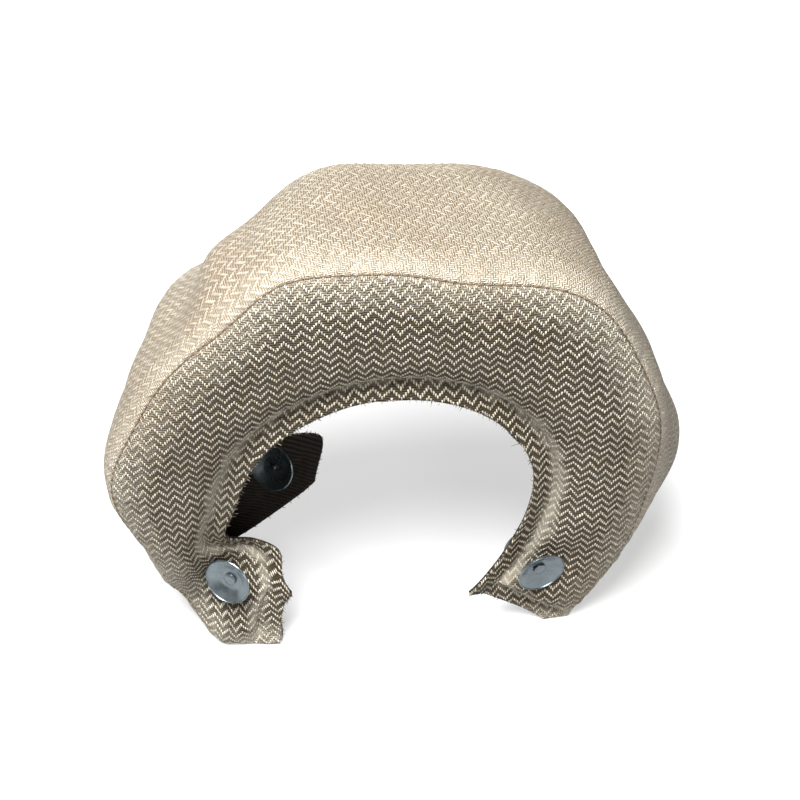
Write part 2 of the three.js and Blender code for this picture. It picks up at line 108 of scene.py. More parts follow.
def station_angle(station, path):
    """Stations run 0..1 over the left end, 1..2 round the ring, 2..3 over the right end."""
    left, right = along_path(LEFT_ENDS, path), along_path(RIGHT_ENDS, path)
    zone = END_ZONE * np.degrees(HEM_WIDTH / along_path(END_RADII, path))
    ring = left + zone + (right - left - 2 * zone) * (station - 1)
    return np.where(station < 1, left + zone * station,
                    np.where(station > 2, right - zone * (3 - station), ring))


def shoulder(distance, length):
    part = np.clip(distance / length, 0, 1)
    return np.sqrt(1 - (1 - part) ** 2)


def distance_to_end(angle, path, radius):
    left = angle - along_path(LEFT_ENDS, path)
    right = along_path(RIGHT_ENDS, path) - angle
    return np.radians(np.minimum(left, right)) * radius


def mat_thickness(to_hole, to_end, to_seam):
    free = np.minimum(shoulder(to_hole - HEM_WIDTH, HOLE_SHOULDER),
                      shoulder(to_end - HEM_WIDTH, HOLE_SHOULDER))
    return MAT * free * shoulder(to_seam, SEAM_EASE) ** 1.7


def mitre_share(to_seam):
    return np.clip(1 - to_seam / SEAM_SHOULDER, 0, 1)


def outward_offset(mat, to_seam):
    proud = (SEAM_PROUD - HEM_THICKNESS / 2) * mitre_share(to_seam) ** 2
    return HEM_THICKNESS / 2 + proud + OUTWARD_SHARE * mat


def fold_shift(x, y, z):
    """Shift along Y: the front left flap's crease, the right end's flare, the rear tuck."""
    front_weight = np.clip(-y / HALF_SPACING, 0, 1.2)
    rear_weight = np.clip(y / HALF_SPACING, 0, 1.2)
    past = (x - CREASE_X) * CREASE_RISE - (z - CREASE_Z) * CREASE_RUN
    past = past / np.hypot(CREASE_RUN, CREASE_RISE)
    crease = CREASE_DEPTH * np.exp(-((past / CREASE_REACH) ** 2))
    flare = FLAP_FLARE * np.clip(past / FLAP_LENGTH, 0, 1)
    angle = np.degrees(np.arctan2(x, z - RING_HEIGHT))
    right_past = (angle - RIGHT_FLARE_START) / (RIGHT_ENDS[0] - RIGHT_FLARE_START)
    tuck_past = (-angle - REAR_TUCK_START) / (-LEFT_ENDS[3] - REAR_TUCK_START)
    front = np.clip(-x / LEFT_BLEND, 0, 1) * (crease - flare)
    front = front - RIGHT_FLARE * np.clip(right_past, 0, 1) ** 2
    return front_weight * front - rear_weight * REAR_TUCK * np.clip(tuck_past, 0, 1.1) ** 1.5


def place(radius, y, angle):
    x = radius * np.sin(np.radians(angle))
    z = RING_HEIGHT + radius * np.cos(np.radians(angle))
    return np.stack([x, y + fold_shift(x, y, z), z], -1) + MIDDLE_SHIFT


def gathers(along, away, seed):
    """Small gathers that a line of stitches pulls into the cloth beside it."""
    wave = (np.sin(along * 0.62 + seed) + 0.7 * np.sin(along * 1.07 + 2.1 * seed + 1.3)
            + 0.6 * np.sin(along * 0.29 + 0.7 * seed))
    return wave * np.exp(-away / 5.5) * np.clip(away / 1.5, 0, 1)


def dents(along, across, seed):
    """Broad soft unevenness of the filling under the cloth."""
    return (np.sin(along * 0.11 + seed) * np.sin(across * 0.13 + 1.7 * seed)
            + 0.6 * np.sin(along * 0.23 + across * 0.09 + 2.9 * seed)
            + 0.4 * np.sin(along * 0.17 - across * 0.26 + 0.6 * seed)) * 0.35


def panel_face(side, stations, columns, face):
    """One face of a ring panel. Columns run 0..1 over the hem, 1..2 over the pad and 2..3
    over the strip beside the seam."""
    station, column = stations[:, None], columns[None, :]
    middle = station_angle(station, np.full_like(station, 0.5 if side == FRONT else 2.5))
    width = seam_radius(side, middle) - HOLE_RADIUS - swell(HOLE_SWELLS[side], middle)
    hem, last = HEM_WIDTH / width, (width - SEAM_STRIP) / width
    share = np.where(column < 1, hem * column,
                     np.where(column < 2, hem + (last - hem) * (column - 1),
                              last + (1 - last) * (column - 2)))
    path = share if side == FRONT else 3 - share
    angle = station_angle(station, path)
    hole = HOLE_RADIUS + swell(HOLE_SWELLS[side], angle)
    seam = seam_radius(side, angle)
    radius = hole + (seam - hole) * share
    to_hole, to_seam = radius - hole, seam - radius
    to_end = distance_to_end(angle, path, radius)
    turn = np.radians(angle)
    pinch, clear = 1, 1
    for at, anchor_radius in ANCHORS[side]:
        away = np.hypot(np.radians(angle - at) * anchor_radius, radius - anchor_radius)
        pinch = pinch - PINCH_DEPTH * np.exp(-((away / PINCH_REACH) ** 2))
        clear = clear * np.clip((away - WASHER_CLEARANCE) / PILLOW_REACH, 0, 1)
    mat = mat_thickness(to_hole, to_end, to_seam) * pinch
    lift = (HEM_RISE + HEM_FLARE * clear) * np.clip(1 - to_hole / HEM_WIDTH, 0, 1)
    relief = 0.16 * gathers(turn * seam, to_seam, 1.0 + side)
    relief = relief + 0.14 * clear * gathers(turn * 74, np.maximum(to_hole - HEM_WIDTH, 0), side)
    quilted = np.clip(to_seam / (seam - hole - HEM_WIDTH), 0, 1)
    full = np.clip((to_end - HEM_WIDTH) / 30, 0, 1) ** 0.5 * clear * (2 - clear)
    pillow = np.sin(np.pi * quilted ** 0.85) * full
    relief = relief + pillow * (PILLOW + dents(turn * 85, to_seam, 2.0 + side))
    fixed, with_mat = DEPTHS[face]
    offset = outward_offset(mat, to_seam) + relief - fixed - with_mat * mat
    mitre = mitre_share(to_seam)
    gap = np.where(mitre >= 1, SEAM_GAP / 2, 0)
    y = side * (HALF_SPACING + offset + lift - gap)
    points = place(radius + mitre * offset - gap, y, angle)
    return points, {"to_edge": np.minimum(to_hole, to_end), "to_seam": to_seam,
                    "angle": angle, "radius": radius}


def run_length(points):
    """How far along its row each point lies, in mm."""
    steps = np.linalg.norm(np.diff(points, axis=-2), axis=-1)
    return np.concatenate([np.zeros((*steps.shape[:-1], 1)), np.cumsum(steps, -1)], -1)


def panel_cut(points, facts):
    """Where each point lay on the flat cloth, in mm, so that the weave follows the cut."""
    length = run_length(points)
    middle = length.shape[1] * 2 // 3
    radius = facts["radius"][:, middle][:, None] + length - length[:, middle][:, None]
    turn = np.radians(facts["angle"])
    return np.stack([radius * np.sin(turn), radius * np.cos(turn)], -1)


def runs(*parts):
    """Joined runs of evenly spaced values, each given as (from, to, steps)."""
    joined = [np.linspace(low, high, steps + 1)[:-1] for low, high, steps in parts]
    return np.append(np.concatenate(joined), parts[-1][1])


def ply(name, outside, inside, flat, facts, node, look):
    """A closed ply between two faces that share their rows and columns."""
    rows, columns = outside.shape[:2]
    grid = np.arange(rows * columns).reshape(rows, columns)
    a, b, c, d = grid[:-1, :-1], grid[1:, :-1], grid[1:, 1:], grid[:-1, 1:]
    layer = rows * columns
    loop = np.concatenate([grid[:, 0], grid[-1, 1:], grid[-2::-1, -1], grid[0, -2:0:-1]])
    after = np.roll(loop, -1)
    quads = np.concatenate([np.stack([a, b, c, d], -1).reshape(-1, 4),
                            np.stack([a, d, c, b], -1).reshape(-1, 4) + layer,
                            np.stack([loop, loop + layer, after + layer, after], -1)])
    points = np.concatenate([outside.reshape(-1, 3), inside.reshape(-1, 3)]) / 1000
    corner = points[quads]
    volume = sum(np.einsum("ij,ij->", corner[:, 0], np.cross(corner[:, i], corner[:, i + 1]))
                 for i in (1, 2))
    if volume < 0:
        quads = quads[:, ::-1]
    mesh = bpy.data.meshes.new(name)
    mesh.from_pydata(points.tolist(), [], quads.tolist())
    used = np.empty(len(mesh.loops), np.int64)
    mesh.loops.foreach_get("vertex_index", used)
    uv = np.tile(flat.reshape(-1, 2), (2, 1))[used] / 100
    mesh.uv_layers.new(name="cut").data.foreach_set("uv", uv.astype(np.float32).ravel())
    for key in ("to_edge", "to_seam"):
        value = np.tile(np.broadcast_to(facts[key], (rows, columns)).reshape(-1), 2)
        stored = mesh.attributes.new(key, "FLOAT", "POINT")
        stored.data.foreach_set("value", np.minimum(value, 100).astype(np.float32))
    mesh.polygons.foreach_set("use_smooth", np.ones(len(mesh.polygons), bool))
    mesh.materials.append(look)
    mesh.update()
    piece = bpy.data.objects.new(name, mesh)
    bpy.context.scene.collection.objects.link(piece)
    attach(piece, "root")
    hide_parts(node)


def panel_ply(name, side, layer, stations, columns, node, look):
    outside, facts = panel_face(side, stations, columns, f"{layer} outside")
    inside, _ = panel_face(side, stations, columns, f"{layer} inside")
    ply(name, outside, inside, panel_cut(outside, facts), facts, node, look)


class Nodes:
    """Short ways to add nodes to a tree and feed them with values or with other nodes."""

    def __init__(self, tree):
        self.tree = tree

    def feed(self, socket, value):
        if isinstance(value, bpy.types.NodeSocket):
            self.tree.links.new(value, socket)
        else:
            socket.default_value = value

    def add(self, kind, inputs=(), **settings):
        node = self.tree.nodes.new(kind)
        for key, value in settings.items():
            setattr(node, key, value)
        for key, value in dict(inputs).items():
            self.feed(node.inputs[key], value)
        return node

    def math(self, operation, *values):
        return self.add("ShaderNodeMath", dict(enumerate(values)), operation=operation).outputs[0]

    def ramp(self, value, low, high, to_low=0.0, to_high=1.0):
        inputs = {"Value": value, "From Min": low, "From Max": high,
                  "To Min": to_low, "To Max": to_high}
        return self.add("ShaderNodeMapRange", inputs).outputs[0]

    def mix(self, share, first, second, blend="MIX"):
        colours = [(*value, 1) if isinstance(value, tuple) else value for value in (first, second)]
        return self.add("ShaderNodeMix", {0: share, 6: colours[0], 7: colours[1]},
                        data_type="RGBA", blend_type=blend).outputs[2]

    def noise(self, spot, scale, detail=2.0):
        inputs = {"Vector": spot, "Scale": scale, "Detail": detail}
        return self.add("ShaderNodeTexNoise", inputs).outputs[0]

    def spot(self):
        return self.add("ShaderNodeTexCoord").outputs["Object"]


def new_look(name):
    """A new material: its nodes and its shader's inputs."""
    material = bpy.data.materials.new(name)
    material.use_nodes = True
    return material, Nodes(material.node_tree), material.node_tree.nodes["Principled BSDF"].inputs


YARN_WIDTH = 0.81
WEAVE_REPEAT = 3.95
YARN_STEP = 0.9


def zigzag_weave():
    """Two-up two-down weave whose floats climb over four yarns and fall over the next four.
    The painted highlight on the upper end of each float, its body, the picks and a chance per
    float come out apart."""
    tree = bpy.data.node_groups.new("zigzag_weave", "ShaderNodeTree")
    for label, kind in (("Cut", "NodeSocketVector"), ("Bias", "NodeSocketFloat")):
        tree.interface.new_socket(label, in_out="INPUT", socket_type=kind)
    for label in ("Height", "Float", "Painted_Highlight", "Weft", "Chance"):
        tree.interface.new_socket(label, in_out="OUTPUT", socket_type="NodeSocketFloat")
    nodes = Nodes(tree)
    add, math, ramp = nodes.add, nodes.math, nodes.ramp
    given = add("NodeGroupInput").outputs
    made = add("NodeGroupOutput").inputs
    wander = add("ShaderNodeTexNoise", {"Vector": given["Cut"], "Scale": 0.09, "Detail": 3.0})
    eased = add("ShaderNodeVectorMath", {0: wander.outputs["Color"], 1: (2.6, 2.6, 0.0),
                                         2: given["Cut"]}, operation="MULTIPLY_ADD")
    turned = add("ShaderNodeVectorRotate", {"Vector": eased.outputs[0], "Angle": given["Bias"]},
                 rotation_type="Z_AXIS")
    part = add("ShaderNodeSeparateXYZ", {0: turned.outputs[0]})
    yarn = math("DIVIDE", part.outputs[0], YARN_WIDTH)
    count = math("FLOOR", yarn)
    row = math("MULTIPLY", part.outputs[1], 4 / WEAVE_REPEAT)
    picks = math("SUBTRACT", row, math("MULTIPLY", math("PINGPONG", count, 4.0), YARN_STEP))
    repeats = math("DIVIDE", picks, 4.0)
    cell = add("ShaderNodeCombineXYZ", {0: count, 1: math("FLOOR", repeats)})
    chance = add("ShaderNodeTexWhiteNoise", {"Vector": cell.outputs[0]}, noise_dimensions="2D")

    def rounded(value):
        return math("COSINE", math("MULTIPLY", math("SUBTRACT", math("FRACT", value), 0.5), np.pi))

    phase = math("MULTIPLY", math("SUBTRACT", math("FRACT", repeats), 0.5), 2 * np.pi)
    over = math("COSINE", phase)
    warp = math("MULTIPLY", math("SQRT", math("MAXIMUM", over, 0.0)), rounded(yarn))
    under = math("SQRT", math("MAXIMUM", math("MULTIPLY", over, -1.0), 0.0))
    weft = math("MULTIPLY", math("MULTIPLY", under, rounded(row)), 0.62)
    # Painted highlight: the upper end of each float, which would catch the overhead lamp, is
    # marked for a paler colour.
    tip = math("COSINE", math("SUBTRACT", phase, 0.55))
    painted_float_highlight = math("MULTIPLY", ramp(tip, 0.25, 0.8), ramp(rounded(yarn), 0.18, 0.52))
    nodes.feed(made["Height"], math("MAXIMUM", warp, weft))
    nodes.feed(made["Float"], ramp(warp, 0.3, 0.7))
    nodes.feed(made["Painted_Highlight"], painted_float_highlight)
    nodes.feed(made["Weft"], ramp(weft, 0.1, 0.5))
    nodes.feed(made["Chance"], chance.outputs["Value"])
    return tree


WEAVE = zigzag_weave()


def silica_cloth(name, bias, float_colour, body_colour, weft_colour, painted_gap_shade, stain_colour):
    """The woven cloth: pale floats over darker picks, felted along the stitch lines, with painted
    shade in the gaps between the yarns and painted highlights on the float ends and on the ridges
    beside the seams.
    """
    material, nodes, shader = new_look(name)
    add, math, ramp, mix = nodes.add, nodes.math, nodes.ramp, nodes.mix
    shader["Specular IOR Level"].default_value = 0.16
    cut = add("ShaderNodeUVMap", uv_map="cut").outputs[0]
    in_mm = add("ShaderNodeVectorMath", {0: cut, "Scale": 100.0}, operation="SCALE").outputs[0]
    weave = add("ShaderNodeGroup", node_tree=WEAVE)
    nodes.feed(weave.inputs["Cut"], in_mm)
    nodes.feed(weave.inputs["Bias"], bias)
    spot = nodes.spot()
    fibres, felt, broad = nodes.noise(spot, 2400.0), nodes.noise(spot, 260.0, 4.0), \
        nodes.noise(spot, 19.0, 3.0)
    # Felt: the nap raised along the stitch line, a little inside the hem.
    edge = add("ShaderNodeAttribute", attribute_name="to_edge").outputs["Fac"]
    off_line = math("ABSOLUTE", math("SUBTRACT", edge, HEM_WIDTH + 1.0))
    felted = ramp(math("ADD", off_line, ramp(felt, 0.3, 0.7, -1.6, 1.6)), 4.0, 0.6)
    fluff = mix(ramp(fibres, 0.3, 0.7), tuple(0.28 * c for c in float_colour),
                tuple(0.52 * c for c in float_colour))
    # Painted highlight: the ridge beside a seam, where the overhead lamp catches it, is painted
    # pale.
    seam = add("ShaderNodeAttribute", attribute_name="to_seam").outputs["Fac"]
    seam_ridge_painted_highlight = ramp(math("ADD", seam, ramp(felt, 0.3, 0.7, -3.0, 3.0)), 11.0, 0.0, 0.0, 0.55)
    pale = mix(weave.outputs["Chance"], float_colour, tuple(0.55 * c for c in float_colour))
    # Painted shade: the gaps between the yarns get a dark colour.
    ground = mix(weave.outputs["Weft"], painted_gap_shade, weft_colour)
    woven = mix(weave.outputs["Float"], ground, body_colour)
    # Painted highlight on the upper end of each float.
    woven = mix(weave.outputs["Painted_Highlight"], woven, pale)
    # Painted highlight on the ridge beside each seam.
    woven = mix(math("MULTIPLY", seam_ridge_painted_highlight, ramp(fibres, 0.35, 0.6)), woven, float_colour)
    woven = mix(ramp(fibres, 0.4, 0.8, 0.0, 0.3), woven, weft_colour)
    woven = mix(ramp(broad, 0.45, 0.7, 0.0, 0.8), woven, stain_colour, "MULTIPLY")
    nodes.feed(shader["Base Color"], mix(math("MULTIPLY", felted, 0.62), woven, fluff))
    nodes.feed(shader["Roughness"], ramp(felted, 0.0, 1.0, 0.5, 0.85))
    flattened = math("MULTIPLY", weave.outputs["Height"], ramp(felted, 0.0, 1.0, 1.0, 0.3))
    height = math("MULTIPLY_ADD", fibres, 0.16, flattened)
    bump = add("ShaderNodeBump", {"Height": height, "Distance": 0.0007})
    nodes.feed(shader["Normal"], bump.outputs[0])
    return material


# The ring panels get a darker copy of the cloth: painted shade for their faces, which turn away
# from the overhead lamp.
panel_look_painted_shade = silica_cloth("panel_cloth_painted_shade", 0.0, (0.90, 0.83, 0.68), (0.235, 0.190, 0.122),
                          (0.078, 0.060, 0.035), (0.018, 0.013, 0.008), (0.80, 0.74, 0.68))
cloth_stations = runs((0, 1, 44), (1, 2, 330), (2, 3, 44))
cloth_columns = np.concatenate([np.linspace(0, 1, 11)[:-1],
                                1 + np.linspace(0, 1, 44)[:-1] ** 1.3, np.linspace(2, 3, 6)])
panel_ply("front_cover_cloth", FRONT, "cloth", cloth_stations, cloth_columns, "front_cover",
          panel_look_painted_shade)

# Front panel, mat: soft white needled fibre that fills the quilt behind the stitch
# lines. It is laid loose between the cloth and the liner and held by the stitches.


def needled_fibre():
    material, nodes, shader = new_look("needled_fibre")
    shader["Roughness"].default_value = 0.95
    tangle = nodes.noise(nodes.spot(), 900.0, 5.0)
    nodes.feed(shader["Base Color"], nodes.mix(tangle, (0.62, 0.60, 0.54), (0.84, 0.83, 0.79)))
    bump = nodes.add("ShaderNodeBump", {"Height": tangle, "Distance": 0.0004})
    nodes.feed(shader["Normal"], bump.outputs[0])
    return material


mat_look = needled_fibre()
mat_stations = runs((0.42, 1, 10), (1, 2, 150), (2, 2.58, 10))
mat_columns = np.concatenate([1.04 + 0.96 * np.linspace(0, 1, 22)[:-1] ** 1.3,
                              np.linspace(2, 2.9, 4)])
panel_ply("front_mat", FRONT, "mat", mat_stations, mat_columns, "front_insulation",
          mat_look)

# Front panel, liner: thin, dark, ribbed high-temperature cloth on the side that
# faces the housing. It runs out to the same raw edges and shares their stitches.


def ribbed_liner():
    material, nodes, shader = new_look("ribbed_liner")
    shader["Roughness"].default_value = 0.72
    shader["Specular IOR Level"].default_value = 0.35
    cut = nodes.add("ShaderNodeUVMap", uv_map="cut").outputs[0]
    ribs = nodes.add("ShaderNodeTexWave", {"Vector": cut, "Scale": 20.0, "Distortion": 1.0,
                                           "Detail": 2.0}, bands_direction="Y")
    picks = nodes.add("ShaderNodeTexWave", {"Vector": cut, "Scale": 44.0, "Distortion": 0.6},
                      bands_direction="X")
    height = nodes.math("MULTIPLY_ADD", picks.outputs["Fac"], 0.3, ribs.outputs["Fac"])
    colour = nodes.mix(nodes.ramp(height, 0.3, 1.2), (0.012, 0.009, 0.006), (0.042, 0.030, 0.020))
    nodes.feed(shader["Base Color"], colour)
    bump = nodes.add("ShaderNodeBump", {"Height": height, "Distance": 0.0004})
    nodes.feed(shader["Normal"], bump.outputs[0])
    return material


liner_look = ribbed_liner()
liner_stations = runs((0, 1, 22), (1, 2, 150), (2, 3, 22))
liner_columns = np.concatenate([np.linspace(0, 1, 5)[:-1],
                                1 + np.linspace(0, 1, 22)[:-1] ** 1.3, np.linspace(2, 3, 3)])
panel_ply("front_liner_cloth", FRONT, "liner", liner_stations, liner_columns, "front_liner",
          liner_look)

# Rim band, outer cloth: a strip of the same cloth round the rim, cut along its
# length and sewn to both rings, so its zigzag crosses the band. It stands on the
# floor where its two ends turn under.
BAND_CROWN = 3.0
BAND_TUCKS = [(-87, -0.5, 14), (-46.5, -3.5, 9), (-32, 9, 8), (0, -2.5, 12), (49.5, -2.5, 9),
              (94.5, 15, 14), (134, 7, 11)]
NO_HOLE = 1e6


def band_face(stations, columns, face):
    """One face of the rim band. Columns run 0..1 from the front seam to the rear seam."""
    station = stations[:, None]
    share = np.broadcast_to(columns[None, :], (len(stations), len(columns)))
    path = 1 + share
    angle = station_angle(station, path)
    across = share * 2 * HALF_SPACING
    to_rear = 2 * HALF_SPACING - across
    to_seam = np.minimum(across, to_rear)
    to_end = distance_to_end(angle, path, SEAM_RADIUS)
    seam = seam_radius(FRONT, angle) * (1 - share) + seam_radius(REAR, angle) * share
    base = seam + np.sin(np.pi * share) * (BAND_CROWN + swell(BAND_TUCKS, angle))
    mat = mat_thickness(NO_HOLE, to_end, to_seam)
    outer = outward_offset(mat, to_seam)
    along = np.radians(angle) * seam
    relief = 0.22 * gathers(along, across, 5.0) + 0.08 * gathers(along, to_rear, 7.0)
    relief = relief + np.sin(np.pi * share) * dents(along, across, 4.0)
    pressed = np.maximum(0, base + outer + relief - ground_radius(angle))
    fixed, with_mat = DEPTHS[face]
    offset = outer + relief - fixed - with_mat * mat
    mitre = mitre_share(to_seam)
    gap = np.where(mitre >= 1, SEAM_GAP / 2, 0)
    side = np.where(share < 0.5, FRONT, REAR)
    y = across - HALF_SPACING + side * (mitre * offset - gap)
    points = place(base - pressed + offset - gap, y, angle)
    return points, {"to_edge": to_end, "to_seam": to_seam}


def band_ply(name, layer, stations, columns, node, look):
    outside, facts = band_face(stations, columns, f"{layer} outside")
    inside, _ = band_face(stations, columns, f"{layer} inside")
    middle = len(columns) // 2
    across = run_length(outside)
    along = run_length(outside[:, middle])[:, None] + 0 * across
    flat = np.stack([across - across[:, middle][:, None], along], -1)
    ply(name, outside, inside, flat, facts, node, look)


# The band gets a lighter, lower-contrast copy of the same cloth: painted sheen where its upward
# faces catch the overhead lamp.
band_look_painted_sheen = silica_cloth("band_cloth_painted_sheen", 0.12, (0.82, 0.76, 0.64), (0.60, 0.53, 0.42),
                         (0.38, 0.32, 0.235), (0.13, 0.10, 0.068), (0.93, 0.88, 0.83))
band_ply("band_cover_cloth", "cloth", cloth_stations,
         runs((0, 0.12, 13), (0.12, 0.88, 44), (0.88, 1, 13)), "band_cover",
         band_look_painted_sheen)

# Rim band, mat: the same needled fibre as in the ring panels. It is cut short of
# the seams and of both ends, and held between the cloth and the liner.
band_ply("band_mat", "mat", mat_stations,
         runs((0.035, 0.15, 5), (0.15, 0.85, 16), (0.85, 0.965, 5)), "band_insulation",
         mat_look)

# Rim band, liner: the dark ribbed cloth inside the rim, which lies against the
# housing. It is sewn into both seams with the outer cloth.
band_ply("band_liner_cloth", "liner", liner_stations,
         runs((0, 0.12, 6), (0.12, 0.88, 18), (0.88, 1, 6)), "band_liner",
         liner_look)

# Rear panel, outer cloth: made as the front one, with its left end tucked forward
# into the ring, so that its liner side shows through the hole.
panel_ply("rear_cover_cloth", REAR, "cloth", cloth_stations, cloth_columns, "rear_cover",
          panel_look_painted_shade)

# Rear panel, mat: needled fibre behind the stitch lines, as in the front panel,
# held by the stitches between the cloth and the liner.
panel_ply("rear_mat", REAR, "mat", mat_stations, mat_columns, "rear_insulation",
          mat_look)

# Rear panel, liner: the dark ribbed cloth that shows on the tucked left end. It
# shares the raw edges and the stitches of the outer cloth.
panel_ply("rear_liner_cloth", REAR, "liner", liner_stations, liner_columns, "rear_liner",
          liner_look)

# Seam threads: brown lockstitches that lie in the groove of both rim seams and
# join the ring panels to the band. They end where the seams rest on the floor.
STITCH_PITCH, STITCH_LENGTH, STITCH_RADIUS, STITCH_RISE = 3.4, 2.9, 0.34, 0.35
THREAD_LIFT, FLOOR_CLEARANCE = 0.25, 6


def brown_thread():
    material, nodes, shader = new_look("brown_thread")
    shader["Roughness"].default_value = 0.7
    twist = nodes.noise(nodes.spot(), 3000.0)
    nodes.feed(shader["Base Color"], nodes.mix(twist, (0.07, 0.045, 0.025), (0.26, 0.185, 0.12)))
    return material


def between(values, length, at):
    """The values at the given lengths along their row."""
    return np.stack([np.interp(at, length, values[:, k]) for k in range(3)], -1)


def tubes(name, paths, radii, look):
    """Closed thin tubes with six sides, one along each path of points in mm."""
    ring = np.radians(np.arange(0, 360, 60))
    points, faces = [], []
    for path, radius in zip(paths, radii):
        start = len(points)
        forward = np.gradient(path, axis=0)
        forward /= np.linalg.norm(forward, axis=1)[:, None]
        side = np.cross(forward, (0.13, 0.21, 0.97))
        side /= np.linalg.norm(side, axis=1)[:, None]
        up = np.cross(side, forward)
        for row in range(len(path)):
            turned = np.outer(np.cos(ring), side[row]) + np.outer(np.sin(ring), up[row])
            points.extend(path[row] + radius[row] * turned)
        for row in range(len(path) - 1):
            low, high = start + 6 * row, start + 6 * (row + 1)
            faces.extend([low + k, high + k, high + (k + 1) % 6, low + (k + 1) % 6]
                         for k in range(6))
        faces.append([start + k for k in range(6)])
        faces.append([start + 6 * (len(path) - 1) + k for k in reversed(range(6))])
    mesh = bpy.data.meshes.new(name)
    mesh.from_pydata((np.array(points) / 1000).tolist(), [], faces)
    mesh.polygons.foreach_set("use_smooth", np.ones(len(mesh.polygons), bool))
    mesh.materials.append(look)
    mesh.update()
    piece = bpy.data.objects.new(name, mesh)
    bpy.context.scene.collection.objects.link(piece)
    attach(piece, "root")


thread_look = brown_thread()
bulge = STITCH_RADIUS * np.array([0.35, 0.8, 1, 1, 1, 0.8, 0.35])
reach = np.linspace(0, 1, len(bulge))
for side, label in ((FRONT, "front"), (REAR, "rear")):
    line, _ = panel_face(side, np.linspace(0.02, 2.98, 3000), np.array([3.0]), "cloth outside")
    line = line[:, 0]
    length = run_length(line)
    outward = (line - MIDDLE_SHIFT - np.array([0, 0, RING_HEIGHT])) * np.array([1, 0, 1])
    outward /= np.linalg.norm(outward, axis=1)[:, None]
    line = line + THREAD_LIFT * (outward + np.array([0, side, 0]))
    paths = []
    for start in np.arange(2, length[-1] - 4, STITCH_PITCH):
        at = start + STITCH_LENGTH * reach
        stitch = between(line, length, at)
        if stitch[:, 2].min() >= FLOOR_CLEARANCE:
            push = between(outward, length, at) + np.array([0, side, 0])
            paths.append(stitch + STITCH_RISE * np.sin(np.pi * reach)[:, None] * push)
    tubes(f"{label}_seam_thread", paths, [bulge] * len(paths), thread_look)

# Frayed hems: short loose yarn ends along the raw edges of both ring panels,
# rooted in the cut cloth round the hole and across the ends.
FRAY_PITCH, FRAY_ROOT = 0.75, 0.8
FRAY_RADII = np.array([0.17, 0.16, 0.14, 0.11, 0.05])


def loose_fibre():
    material, nodes, shader = new_look("loose_fibre")
    shader["Roughness"].default_value = 0.7
    tint = nodes.ramp(nodes.noise(nodes.spot(), 300.0), 0.4, 0.6)
    nodes.feed(shader["Base Color"], nodes.mix(tint, (0.06, 0.045, 0.03), (0.42, 0.36, 0.27)))
    return material


fibre_look = loose_fibre()
chance = np.random.default_rng(7)
steps = np.linspace(0, 1, len(FRAY_RADII))[:, None]
for side, label in ((FRONT, "front"), (REAR, "rear")):
    rim, _ = panel_face(side, np.linspace(0, 3, 2400), np.array([0.0, 0.2]), "cloth inside")
    ends, _ = panel_face(side, np.array([0, 0.1, 2.9, 3.0]), np.linspace(0, 2.9, 160),
                         "cloth inside")
    paths = []
    for edge, within in ((rim[:, 0], rim[:, 1]), (ends[0], ends[1]), (ends[3], ends[2])):
        length = run_length(edge)
        away = edge - within
        away /= np.linalg.norm(away, axis=1)[:, None]
        for start in np.arange(0.5, length[-1] - 0.5, FRAY_PITCH):
            at = start + chance.uniform(-0.3, 0.3)
            push = between(away, length, at)
            long = FRAY_ROOT + chance.uniform(0.3, 0.9) * (1 + 1.2 * (chance.random() < 0.1))
            bend, droop = chance.normal(0, 0.45, 3), chance.normal(0, 0.5, 3)
            depth = np.array([0, side * chance.uniform(0.1, 1.0), 0])
            root = between(edge, length, at) + depth - FRAY_ROOT * push
            curl = steps * (push + 0.5 * bend) + steps ** 2 * 0.5 * droop
            paths.append(root + long * curl)
    tubes(f"{label}_frayed_hem", paths, [FRAY_RADII] * len(paths), fibre_look)

# Lacing washers: pressed from zinc-plated steel sheet, dished and with a rolled
# rim. One lies on each face of a ring panel at each end, drawn together by a pin.
WASHER_STEEL, WASHER_FLAT, WASHER_DISH, WASHER_LIP = 0.0006, 0.0044, 0.0026, 0.0009
PIN_RADIUS, PIN_CLEARANCE = 0.00135, 0.0003
ANCHOR_NAMES = ("front_left", "front_right", "rear_left", "rear_right")


def zinc_steel():
    material, nodes, shader = new_look("zinc_plated_steel")
    shader["Metallic"].default_value = 0.85
    cloud = nodes.noise(nodes.spot(), 240.0, 4.0)
    # Plated steel tone, set darker than bare zinc plating: painted dark reflection of the room.
    nodes.feed(shader["Base Color"], nodes.mix(cloud, (0.13, 0.16, 0.175), (0.27, 0.315, 0.335)))
    nodes.feed(shader["Roughness"], nodes.ramp(cloud, 0.3, 0.7, 0.22, 0.38))
    bump = nodes.add("ShaderNodeBump", {"Height": cloud, "Distance": 0.00008})
    nodes.feed(shader["Normal"], bump.outputs[0])
    return material


steel_look = zinc_steel()


